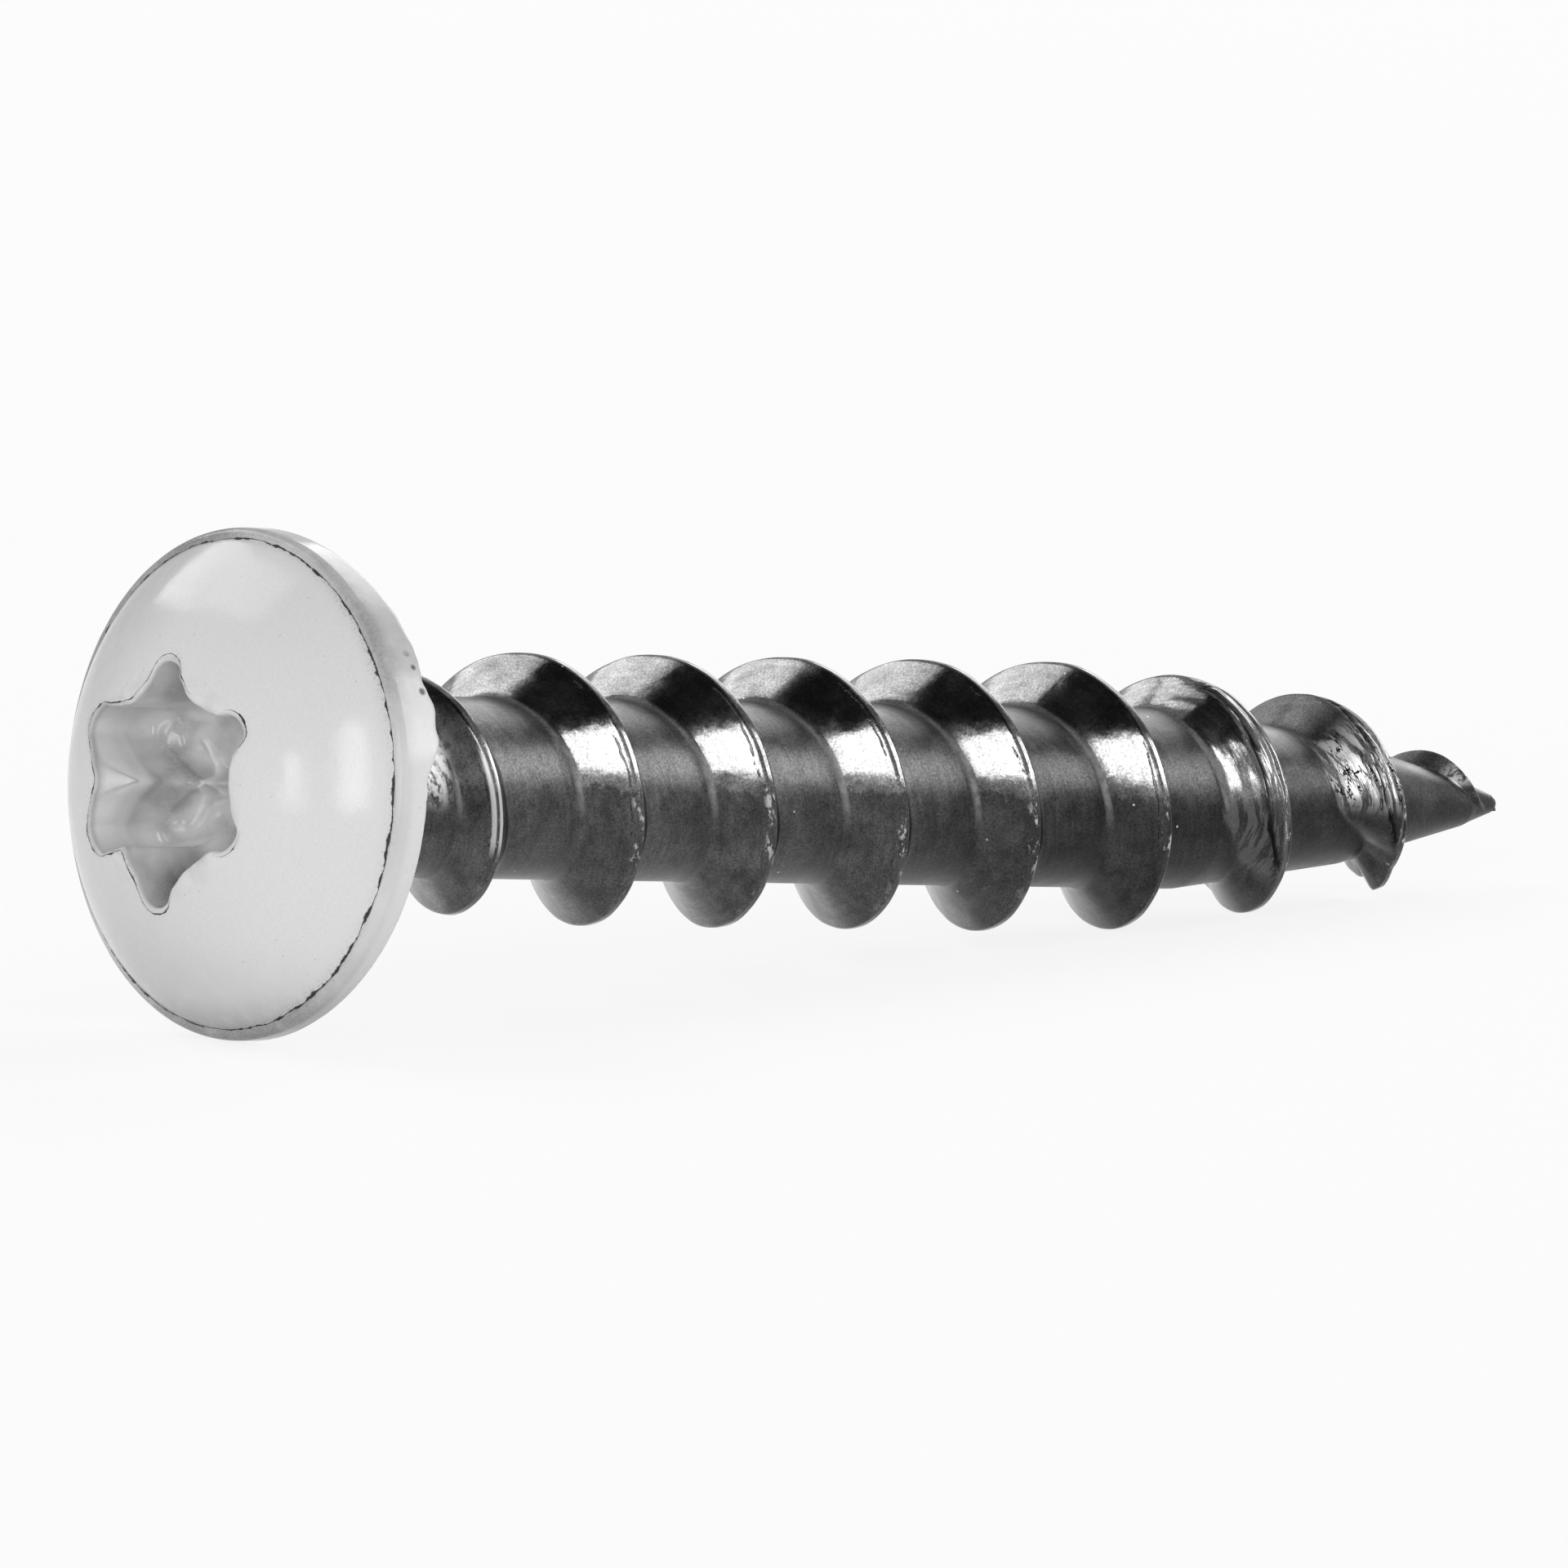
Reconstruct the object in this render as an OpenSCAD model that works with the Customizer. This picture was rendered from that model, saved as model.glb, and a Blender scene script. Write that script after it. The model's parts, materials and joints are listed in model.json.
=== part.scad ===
// Sheet metal screw: coated pan head, six-lobe socket, coarse single-start thread, tapered point.
// It is drawn along X, from the bearing face under its head at x = 0 to its point, and the head
// lies on the other side of that face. Then it is laid on the ground as it comes to rest.

/* [Head] */
// Diameter of the head across its rim
head_d = 8.0; // [7.2:0.1:9]
// Height of the rim, from the bearing face to the crease under the dome
rim_h = 0.56; // [0.45:0.01:0.9]
// Height of the dome above the crease, before the socket is cut
dome_h = 1.74; // [1.5:0.02:2.2]
// Radius of the rounded shoulder between the crease and the rim
shoulder_r = 0.17; // [0.1:0.01:0.3]
// Radius of the edge round the bearing face
edge_r = 0.08; // [0.04:0.01:0.12]
// Width of the fine groove along the crease
crease_w = 0.05; // [0.02:0.01:0.08]

/* [Socket] */
// Size across opposite lobes
socket_a = 3.95; // [3.7:0.05:4.2]
// Size across opposite ridges
socket_b = 2.85; // [2.6:0.05:3]
// Radius of the end of a lobe
lobe_r = 0.31; // [0.26:0.01:0.36]
// Depth of the conical floor at its middle, from the level where the lobes end
socket_depth = 1.98; // [1.7:0.02:2.1]
// Full angle of the conical floor
floor_angle = 150; // [130:1:160]
// Width of the chamfer that leads in over the ends of the ridges
lead_in = 0.2; // [0.05:0.01:0.3]
// Turn of the socket about the axis
socket_turn = -7.4; // [-30:0.1:30]

/* [Shank] */
// Diameter of the core between the threads
core_d = 2.845; // [2.6:0.005:3]
// Radius of the fillet between the bearing face and the core
neck_r = 0.9; // [0.8:0.05:1.2]
// Length from the bearing face to the point
length = 25.98; // [25:0.02:32]
// Distance from the bearing face to where the core starts to taper
core_taper_x = 19.05; // [17:0.05:21]
// Distance from the bearing face to where the taper steepens into the point
point_x = 22.5; // [21.5:0.02:23.5]
// Diameter of the core there
point_d = 2.0; // [1.8:0.01:2.3]
// Distance from the bearing face to the nose of the point
nose_x = 25.2; // [24.6:0.02:25.4]
// Diameter of the core at the start of the nose
nose_d = 0.79; // [0.6:0.01:1]
// Radius of the blunt end of the nose
tip_r = 0.12; // [0.08:0.01:0.2]

/* [Thread] */
// Diameter over the thread crests
major_d = 4.262; // [4:0.002:4.5]
// Distance between neighbouring crests
pitch = 2.767; // [2.4:0.001:3.1]
// Width of the flat on a crest
crest_w = 0.122; // [0.08:0.002:0.2]
// Angle of each flank from square to the axis
flank_angle = 41; // [30:1:45]
// Distance from the bearing face to the start of the thread
thread_x = 0.5; // [0.4:0.05:1]
// Height of the crest above the core where the thread starts
start_h = 0.15; // [0.1:0.01:0.3]
// Distance from the bearing face to the first crest of full height
full_x = 5.16; // [4:0.02:7]
// Distance from the bearing face to the third crest on the upper side
crest_x = 5.416; // [4.2:0.001:6.9]
// Distance from the bearing face to the last crest of full height
crest_taper_x = 17.19; // [15:0.01:19]
// Distance from the bearing face to where the crests start to fall away faster
crest_mid_x = 21.84; // [20:0.02:22.5]
// Diameter over the crest there
crest_mid_d = 3.40; // [3.2:0.02:3.7]
// Distance from the bearing face to the last crest on the lower side
crest_low_x = 23.42; // [22.8:0.02:24]
// Diameter over the crest there
crest_low_d = 2.78; // [2.4:0.02:3]
// Distance from the bearing face to the last crest on the upper side
crest_high_x = 24.76; // [24.2:0.02:25]
// Diameter over the crest there
crest_high_d = 1.52; // [1.2:0.02:1.7]
// Distance from the end of the point to where the last crest runs out
run_out = 0.26; // [0.2:0.02:0.6]
// Angle of the steeper flanks of the last crests
last_flank_angle = 28; // [20:1:41]

/* [Lie] */
// Turn about its own axis at which the screw lies on the ground
lie_turn = 2.8; // [-20:0.1:20]

/* [Hidden] */

steel = [0.42, 0.42, 0.43];
coat = [0.90, 0.90, 0.89];

round_fn = 96;
turn_steps = 40;
arc_steps = 7;
overlap = 0.01;
root_sink = 0.12;

head_r = head_d / 2;
crease_r = head_r - shoulder_r;
dome_r = (pow(crease_r, 2) + pow(dome_h, 2)) / (2 * dome_h);
dome_centre_x = dome_r - dome_h - rim_h;
head_h = rim_h + dome_h;

core_r = core_d / 2;
point_r = point_d / 2;
nose_r = nose_d / 2;
major_r = major_d / 2;
tip_x = length - edge_r;

// Level of the dome at a distance r from the axis
function dome_x(r) = dome_centre_x - sqrt(pow(dome_r, 2) - pow(r, 2));

// Points of an arc from angle a0 to angle a1
function arc(centre, r, a0, a1) = [
    for (i = [0 : arc_steps])
        let (a = a0 + (a1 - a0) * i / arc_steps)
            centre + r * [cos(a), sin(a)]
];

// Radius of a ridge of the socket, at which it runs smoothly into the lobes beside it
lobe_centre = socket_a / 2 - lobe_r;
ridge_reach = socket_b / 2;
ridge_r = (pow(lobe_centre, 2) + pow(ridge_reach, 2) - pow(lobe_r, 2) - sqrt(3) * lobe_centre * ridge_reach)
    / (sqrt(3) * lobe_centre + 2 * lobe_r - 2 * ridge_reach);
ridge_centre = (ridge_reach + ridge_r) * [cos(30), sin(30)];
join_angle = atan2(ridge_centre[1], ridge_centre[0] - lobe_centre);

function turned(points, a) = [for (p = points) [p[0] * cos(a) - p[1] * sin(a), p[0] * sin(a) + p[1] * cos(a)]];

six_lobe_points = [
    for (k = [0 : 5])
        let (
            lobe = arc([lobe_centre, 0], lobe_r, -join_angle, join_angle),
            ridge = arc(ridge_centre, ridge_r, 180 + join_angle, 240 - join_angle)
        )
        for (p = turned(concat(lobe, [for (i = [1 : arc_steps - 1]) ridge[i]]), 60 * k)) p
];

lobe_level = dome_x(socket_a / 2);
floor_x = lobe_level + socket_depth;
floor_slope = tan(floor_angle / 2);
lip_r = ridge_reach + lead_in;

// Radius of the core, and of the crest, at a distance x from the bearing face
function core_at(x) = lookup(x, [
    [core_taper_x, core_r],
    [point_x, point_r],
    [nose_x, nose_r],
    [tip_x, tip_r]
]);
function crest_at(x) = lookup(x, [
    [thread_x, core_r + start_h],
    [full_x, major_r],
    [crest_taper_x, major_r],
    [crest_mid_x, crest_mid_d / 2],
    [crest_low_x, crest_low_d / 2],
    [crest_high_x, crest_high_d / 2],
    [length - run_out, tip_r]
]);
function flank_at(x) = lookup(x, [[crest_mid_x, flank_angle], [crest_low_x, last_flank_angle]]);

// The thread is a ridge whose section is carried along a right-hand helix
thread_end_x = length - run_out;
stations = ceil((thread_end_x - thread_x) / pitch * turn_steps);
function station_x(i) = thread_x + (thread_end_x - thread_x) * i / stations;
function station_angle(i) = 360 * (station_x(i) - crest_x) / pitch;
function on_helix(i, dx, r) = [station_x(i) + dx, -r * sin(station_angle(i)), r * cos(station_angle(i))];
function thread_section(i) =
    let (
        crest = crest_at(station_x(i)),
        root = max(core_at(station_x(i)) - root_sink, tip_r / 2),
        half_top = crest_w / 2,
        half_foot = half_top + (crest - root) * tan(flank_at(station_x(i)))
    )
    [
        on_helix(i, -half_foot, root),
        on_helix(i, -half_top, crest),
        on_helix(i, half_top, crest),
        on_helix(i, half_foot, root)
    ];

// Tilt of the axis at which the rim of the head and the lowest crest both touch the ground
function tilt_on(x) = let (rise = head_r - edge_r - crest_at(x), run = x + crest_w / 2 + edge_r)
    atan2(rise, run) + asin(edge_r / norm([rise, run]));
first_low_x = crest_x + (0.5 - lie_turn / 360) * pitch;
low_crests = [first_low_x : pitch : thread_end_x];
rest_tilt = min([for (x = low_crests) tilt_on(x)]);
ground_z = (head_r - edge_r) * cos(rest_tilt) - edge_r * sin(rest_tilt) + edge_r;

// Middle of the laid screw along X, between the lip of its socket and its point
middle_x = ((dome_x(lip_r) + length) * cos(rest_tilt) - lip_r * sin(rest_tilt)) / 2;

// Half section of the turned blank, with its radius along X and its axis along Y
module blank_profile() {
    difference() {
        union() {
            intersection() {
                translate([0, dome_centre_x]) circle(dome_r, $fn = 2 * round_fn);
                translate([0, -head_h]) square([crease_r, dome_h + overlap]);
            }
            translate([crease_r, shoulder_r - rim_h]) circle(shoulder_r, $fn = round_fn);
            translate([head_r - edge_r, -edge_r]) circle(edge_r, $fn = round_fn);
            polygon([
                [0, -rim_h],
                [crease_r, -rim_h],
                [crease_r, shoulder_r - rim_h],
                [head_r, shoulder_r - rim_h],
                [head_r, -edge_r],
                [head_r - edge_r, -edge_r],
                [head_r - edge_r, 0],
                [core_r + neck_r, 0],
                [core_r + neck_r, neck_r],
                [core_r, neck_r],
                [core_r, core_taper_x],
                [point_r, point_x],
                [nose_r, nose_x],
                [tip_r, tip_x],
                [tip_r - edge_r, length],
                [0, length]
            ]);
        }
        translate([core_r + neck_r, neck_r]) circle(neck_r, $fn = round_fn);
        translate([crease_r, -rim_h]) rotate(45) square(crease_w, center = true);
    }
}

module blank() {
    rotate([0, 90, 0]) rotate_extrude($fn = round_fn) blank_profile();
}

// Six-lobe socket: straight walls on a conical floor, with a chamfer over the ends of the ridges
module socket() {
    rotate([0, 90, 0]) {
        intersection() {
            translate([0, 0, -2 * head_h]) linear_extrude(2 * head_h + floor_x) polygon(six_lobe_points);
            translate([0, 0, floor_x - 2 * head_h])
                cylinder(h = 2 * head_h, r1 = 2 * head_h * floor_slope, r2 = 0, $fn = round_fn);
        }
        translate([0, 0, dome_x(lip_r)]) rotate_extrude($fn = round_fn)
            polygon([[0, lip_r], [lip_r, 0], [lip_r, -dome_h], [0, -dome_h]]);
    }
}

module thread() {
    points = [for (i = [0 : stations]) each thread_section(i)];
    sides = [
        for (i = [0 : stations - 1], j = [0 : 3])
            let (a = 4 * i + j, b = 4 * i + (j + 1) % 4)
                each [[a, b, b + 4], [a, b + 4, a + 4]]
    ];
    last = 4 * stations;
    polyhedron(points, concat(sides, [[3, 2, 1, 0], [last, last + 1, last + 2, last + 3]]));
}

module screw() {
    translate([-middle_x, 0, ground_z]) rotate([0, rest_tilt, 0]) rotate([lie_turn, 0, 0]) {
        color(coat) difference() {
            blank();
            rotate([socket_turn, 0, 0]) socket();
        }
        color(steel) thread();
    }
}

screw();
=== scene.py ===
"""Sheet metal screw with a white coated pan head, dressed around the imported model."""

import json
import math

import bpy
import numpy as np
from mathutils import Matrix, Vector, noise


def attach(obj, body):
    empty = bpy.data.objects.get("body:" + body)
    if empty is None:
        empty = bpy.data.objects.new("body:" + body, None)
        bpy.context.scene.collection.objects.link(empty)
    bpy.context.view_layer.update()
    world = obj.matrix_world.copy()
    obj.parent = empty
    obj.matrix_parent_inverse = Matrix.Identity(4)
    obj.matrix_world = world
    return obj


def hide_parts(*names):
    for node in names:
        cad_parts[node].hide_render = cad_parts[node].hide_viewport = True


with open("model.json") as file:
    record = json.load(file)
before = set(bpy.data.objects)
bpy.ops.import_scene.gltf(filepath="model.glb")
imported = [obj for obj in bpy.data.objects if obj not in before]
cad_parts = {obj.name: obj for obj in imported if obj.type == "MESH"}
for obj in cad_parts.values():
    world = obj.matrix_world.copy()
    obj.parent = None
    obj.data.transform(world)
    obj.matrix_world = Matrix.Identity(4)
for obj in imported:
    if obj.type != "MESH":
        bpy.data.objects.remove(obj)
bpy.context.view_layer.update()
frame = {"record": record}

# Sizes in millimetres, along the screw's own axis from the bearing face to the point
MM = 0.001
HEAD_R = 4.0
EDGE_R = 0.08
SHOULDER_R = 0.17
CREASE_R = HEAD_R - SHOULDER_R
RIM_H = 0.56
DOME_H = 1.74
DOME_R = (CREASE_R**2 + DOME_H**2) / (2 * DOME_H)
DOME_CENTRE = DOME_R - DOME_H - RIM_H

SOCKET_LOBE_REACH = 1.975
SOCKET_RIDGE_REACH = 1.425
LOBE_R = 0.31
SOCKET_TURN = math.radians(-4.6)
FLOOR_X = 0.079
FLOOR_SLOPE = 1 / math.tan(math.radians(75))

CORE_R = 1.4225
NECK_R = 0.9
LENGTH = 25.98
TIP_R = 0.12
MAJOR_R = 2.131
PITCH = 2.767
CREST_X = 5.394
CREST_HALF_W = 0.061
THREAD_MOUNT_X = 13.0

CORE_LINE = [(19.05, CORE_R), (22.5, 1.0), (25.2, 0.37), (25.35, 0.31), (25.65, 0.215), (25.9, 0.135)]
CREST_LINE = [
    (0.5, CORE_R + 0.15), (5.16, MAJOR_R), (17.19, MAJOR_R), (21.84, 1.7),
    (23.42, 1.39), (24.76, 0.76), (25.72, TIP_R),
]
FLANK_LINE = [(21.84, 1 / math.tan(math.radians(41))), (23.42, 1 / math.tan(math.radians(28)))]

# Damage along the thread, by turns from the third crest on the upper side: the share of its height
# that the crest keeps, and the width of metal rolled over towards the head
CREST_WEAR = [
    (5.42, 1.0), (5.47, 0.98), (5.53, 0.965), (5.57, 0.925), (5.62, 1.0),
    (6.28, 1.0), (6.38, 0.915), (6.43, 0.985), (6.46, 0.99), (6.5, 0.845), (6.55, 0.9), (6.61, 1.02), (6.7, 1.0),
]
LAP_WIDTH = [(4.98, 0.0), (5.08, 0.3), (5.27, 0.42), (5.36, 0.0), (5.98, 0.0), (6.1, 0.3), (6.24, 0.42), (6.34, 0.0)]
TORN_METAL = [(5.05, 0.0), (5.12, 0.12), (5.3, 0.12), (5.4, 0.0), (6.08, 0.0), (6.14, 1.0), (6.21, 1.0), (6.26, 0.0)]
DULL_METAL = [(5.7, 0.0), (5.9, 1.0), (6.1, 1.0), (6.17, 0.0), (6.7, 0.0), (6.85, 1.0)]

# A wrinkle of paint across the socket's floor, as distances to the far side and up
WRINKLE = [
    ((0.95, 0.58), (0.62, 0.05), (0.99, -0.73)),
    ((0.62, 0.05), (0.56, -0.21)),
]


def screw_frame():
    """The screw's own frame, in metres: X along its axis, Z up, origin in the bearing face."""
    mount = next(m for m in frame["record"]["mounts"] if m["name"] == "thread")
    along = Vector(mount["axis"]).normalized()
    side = Vector((0, 1, 0))
    lie = Matrix((along, side, along.cross(side))).transposed().to_4x4()
    lie.translation = Vector(mount["pos_m"]) - THREAD_MOUNT_X * MM * along
    return lie


LIE = screw_frame()


# Small helpers for building node trees

def link(tree, source, socket):
    """Sets a socket to a value, or joins it to another node's output."""
    if isinstance(source, bpy.types.NodeSocket):
        tree.links.new(source, socket)
    else:
        socket.default_value = source


def add(tree, kind, **settings):
    """Adds a node. A setting is a node property, or an input socket's name with its value."""
    node = tree.nodes.new(kind)
    for name, value in settings.items():
        if hasattr(node, name):
            setattr(node, name, value)
        else:
            link(tree, value, node.inputs[name.replace("_", " ")])
    return node


def calc(tree, operation, *values):
    """One step of arithmetic on numbers."""
    node = tree.nodes.new("ShaderNodeMath")
    node.operation = operation
    for value, socket in zip(values, node.inputs):
        link(tree, value, socket)
    return node.outputs[0]


def vector(tree, operation, *values):
    """One step of arithmetic on vectors."""
    node = tree.nodes.new("ShaderNodeVectorMath")
    node.operation = operation
    for value, socket in zip(values, node.inputs):
        link(tree, value, socket)
    return node.outputs[0]


def ramp(tree, value, low, high, bottom=0.0, top=1.0, smooth=True):
    """A value that goes from bottom to top while the input goes from low to high."""
    node = tree.nodes.new("ShaderNodeMapRange")
    node.interpolation_type = "SMOOTHSTEP" if smooth else "LINEAR"
    node.clamp = True
    for socket, number in zip(node.inputs, (value, low, high, bottom, top)):
        link(tree, number, socket)
    return node.outputs[0]


def line_through(tree, x, knots):
    """A height that follows straight lines through the knots, and stays level beyond them."""
    total = knots[0][1]
    for (x0, y0), (x1, y1) in zip(knots, knots[1:]):
        step = ramp(tree, x, x0, x1, 0.0, y1 - y0, smooth=False)
        total = calc(tree, "ADD", total, step)
    return total


# Threaded shank

def shank_tree():
    """Geometry Nodes tree: a strip of one pitch, wound along the helix and closed at both ends."""
    tree = bpy.data.node_groups.new("threaded_shank", "GeometryNodeTree")
    face = tree.interface
    face.new_socket("Geometry", in_out="INPUT", socket_type="NodeSocketGeometry")
    for name, kind in (
        ("Pitch", "NodeSocketFloat"), ("Crest X", "NodeSocketFloat"), ("Crest half width", "NodeSocketFloat"),
        ("Neck radius", "NodeSocketFloat"), ("Length", "NodeSocketFloat"), ("Tip radius", "NodeSocketFloat"),
        ("Columns per turn", "NodeSocketInt"), ("Rows per pitch", "NodeSocketInt"),
        ("Turns", "NodeSocketInt"), ("Material", "NodeSocketMaterial"),
    ):
        face.new_socket(name, in_out="INPUT", socket_type=kind)
    face.new_socket("Geometry", in_out="OUTPUT", socket_type="NodeSocketGeometry")
    given = tree.nodes.new("NodeGroupInput").outputs
    result = tree.nodes.new("NodeGroupOutput")
    pitch, columns, turns = given["Pitch"], given["Columns per turn"], given["Turns"]

    grid = add(tree, "GeometryNodeMeshGrid", Size_X=1.0, Size_Y=1.0)
    link(tree, calc(tree, "ADD", given["Rows per pitch"], 1), grid.inputs["Vertices X"])
    link(tree, calc(tree, "ADD", calc(tree, "MULTIPLY", columns, turns), 1), grid.inputs["Vertices Y"])
    place = add(tree, "ShaderNodeSeparateXYZ", Vector=add(tree, "GeometryNodeInputPosition").outputs[0])

    # Rows crowd towards the crest, and each turn ends where the next begins
    across = calc(tree, "MULTIPLY", place.outputs["X"], 2)
    size = calc(tree, "ABSOLUTE", across)
    crowd = calc(tree, "ADD", 0.3, calc(tree, "MULTIPLY", 0.7, calc(tree, "POWER", size, 1.2)))
    offset = calc(tree, "MULTIPLY", calc(tree, "MULTIPLY", across, crowd), 0.5)
    first_turn = calc(tree, "FLOOR", calc(tree, "DIVIDE", calc(tree, "SUBTRACT", -1.3, given["Crest X"]), pitch))
    turned = calc(tree, "MULTIPLY", calc(tree, "ADD", place.outputs["Y"], 0.5), turns)
    turned = calc(tree, "ADD", turned, first_turn)
    angle = calc(tree, "MULTIPLY", turned, math.tau)
    raw = calc(tree, "MULTIPLY", calc(tree, "ADD", turned, offset), pitch)
    raw = calc(tree, "ADD", raw, given["Crest X"])

    # Rows also crowd towards both ends
    neck_span, point_span = 0.85, 1.4
    far = calc(tree, "SUBTRACT", given["Length"], point_span)
    late = ramp(tree, raw, far, calc(tree, "ADD", far, 2 * point_span), smooth=False)
    late_x = calc(tree, "MULTIPLY", calc(tree, "MULTIPLY", late, calc(tree, "SUBTRACT", 2, late)), point_span)
    early = ramp(tree, raw, neck_span, -neck_span, smooth=False)
    early_x = calc(tree, "MULTIPLY", calc(tree, "MULTIPLY", early, calc(tree, "SUBTRACT", 2, early)), neck_span)
    middle_x = calc(tree, "MINIMUM", calc(tree, "MAXIMUM", raw, neck_span), far)
    x = calc(tree, "SUBTRACT", calc(tree, "ADD", middle_x, late_x), early_x)

    # Distance along the axis from the nearest crest, negative towards the head
    phase = calc(tree, "DIVIDE", calc(tree, "SUBTRACT", x, given["Crest X"]), pitch)
    phase = calc(tree, "SUBTRACT", phase, turned)
    whole = calc(tree, "ROUND", phase)
    beside = calc(tree, "MULTIPLY", calc(tree, "SUBTRACT", phase, whole), pitch)
    off = calc(tree, "ABSOLUTE", beside)
    crest_turn = calc(tree, "ADD", turned, whole)

    # Core, neck and rounded end
    core = line_through(tree, x, CORE_LINE)
    neck = given["Neck radius"]
    rise = calc(tree, "SUBTRACT", neck, calc(tree, "MINIMUM", x, neck))
    fall = calc(tree, "SQRT", calc(tree, "SUBTRACT", calc(tree, "POWER", neck, 2), calc(tree, "POWER", rise, 2)))
    core = calc(tree, "ADD", core, calc(tree, "SUBTRACT", neck, fall))
    cap = given["Tip radius"]
    beyond = calc(tree, "SUBTRACT", x, calc(tree, "SUBTRACT", given["Length"], cap))
    beyond = calc(tree, "MAXIMUM", beyond, 0)
    end = calc(tree, "SQRT", calc(tree, "MAXIMUM", 0, calc(
        tree, "SUBTRACT", calc(tree, "POWER", cap, 2), calc(tree, "POWER", beyond, 2))))
    core = calc(tree, "MINIMUM", core, calc(tree, "ADD", end, ramp(tree, x, LENGTH - 0.12, LENGTH - 0.13, 0, 9)))

    # Ridge of the thread
    crest = calc(tree, "MULTIPLY", line_through(tree, x, CREST_LINE), line_through(tree, crest_turn, CREST_WEAR))
    ripple = add(tree, "ShaderNodeTexNoise", noise_dimensions="1D", W=crest_turn, Scale=9.0, Detail=3.0)
    ripple = calc(tree, "MULTIPLY", calc(tree, "SUBTRACT", ripple.outputs[0], 0.5), 0.04)
    crest = calc(tree, "ADD", crest, calc(tree, "MULTIPLY", ripple, ramp(tree, x, LENGTH - 0.6, LENGTH - 1.6)))
    slope = line_through(tree, x, FLANK_LINE)
    lap = calc(tree, "MULTIPLY", line_through(tree, crest_turn, LAP_WIDTH), ramp(tree, beside, 0.03, -0.03))
    flat = calc(tree, "ADD", given["Crest half width"], lap)
    rag = add(tree, "ShaderNodeTexNoise", noise_dimensions="2D", Scale=6.0, Detail=2.0)
    link(tree, add(tree, "ShaderNodeCombineXYZ", X=calc(tree, "MULTIPLY", crest_turn, 2), Y=beside).outputs[0],
         rag.inputs["Vector"])
    rag = calc(tree, "MULTIPLY", calc(tree, "SUBTRACT", rag.outputs[0], 0.5), lap)
    crest = calc(tree, "ADD", crest, calc(tree, "MULTIPLY", rag, 0.35))
    roof = calc(tree, "SUBTRACT", off, flat)
    roof = calc(tree, "SUBTRACT", crest, calc(tree, "MULTIPLY", roof, slope))
    ridge = calc(tree, "SMOOTH_MIN", crest, roof, 0.03)
    lap_edge = calc(tree, "ABSOLUTE", calc(tree, "ADD", calc(tree, "ADD", beside, lap), rag))
    crack = calc(tree, "MULTIPLY", ramp(tree, lap_edge, 0.07, 0.02), ramp(tree, lap, 0.05, 0.2))
    ridge = calc(tree, "SUBTRACT", ridge, calc(tree, "MULTIPLY", crack, 0.05))
    started = ramp(tree, x, 0.2, 0.9)
    ridge = calc(tree, "MULTIPLY", ridge, started)
    flank = ramp(tree, calc(tree, "SUBTRACT", ridge, core), -0.03, 0.05)
    radius = calc(tree, "SMOOTH_MAX", core, ridge, 0.07)
    closed = ramp(tree, raw, -neck_span, -neck_span + 0.001, smooth=False)
    radius = calc(tree, "MULTIPLY", radius, closed)
    at_end = ramp(tree, raw, LENGTH + point_span, LENGTH + point_span - 0.001, smooth=False)
    radius = calc(tree, "MULTIPLY", radius, at_end)
    inward = calc(tree, "MULTIPLY", calc(tree, "SUBTRACT", 1, closed), 0.5)

    spot = add(
        tree, "ShaderNodeCombineXYZ",
        X=calc(tree, "ADD", x, inward),
        Y=calc(tree, "MULTIPLY", calc(tree, "MULTIPLY", radius, -1), calc(tree, "SINE", angle)),
        Z=calc(tree, "MULTIPLY", radius, calc(tree, "COSINE", angle)),
    )
    helix = add(tree, "ShaderNodeCombineXYZ", X=crest_turn, Y=beside)
    kept = grid.outputs["Mesh"]
    for name, kind, domain, value in (
        ("helix", "FLOAT2", "CORNER", helix.outputs[0]),
        ("flank", "FLOAT", "POINT", flank),
        ("torn", "FLOAT", "POINT", calc(tree, "MULTIPLY", flank, line_through(tree, crest_turn, TORN_METAL))),
        ("dull", "FLOAT", "POINT", line_through(tree, crest_turn, DULL_METAL)),
        ("crack", "FLOAT", "POINT", crack),
    ):
        keep = add(tree, "GeometryNodeStoreNamedAttribute", data_type=kind, domain=domain)
        link(tree, name, keep.inputs["Name"])
        link(tree, kept, keep.inputs["Geometry"])
        link(tree, value, next(s for s in keep.inputs if s.name == "Value" and s.enabled))
        kept = keep.outputs["Geometry"]
    moved = add(tree, "GeometryNodeSetPosition")
    link(tree, kept, moved.inputs["Geometry"])
    link(tree, vector(tree, "MULTIPLY", spot.outputs[0], (MM, MM, MM)), moved.inputs["Position"])
    joined = add(tree, "GeometryNodeMergeByDistance", Distance=1e-7)
    link(tree, moved.outputs["Geometry"], joined.inputs["Geometry"])
    real = add(tree, "GeometryNodeRealizeInstances")
    link(tree, joined.outputs["Geometry"], real.inputs["Geometry"])
    paint = add(tree, "GeometryNodeSetMaterial")
    link(tree, real.outputs["Geometry"], paint.inputs["Geometry"])
    link(tree, given["Material"], paint.inputs["Material"])
    link(tree, paint.outputs["Geometry"], result.inputs["Geometry"])
    return tree


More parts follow.
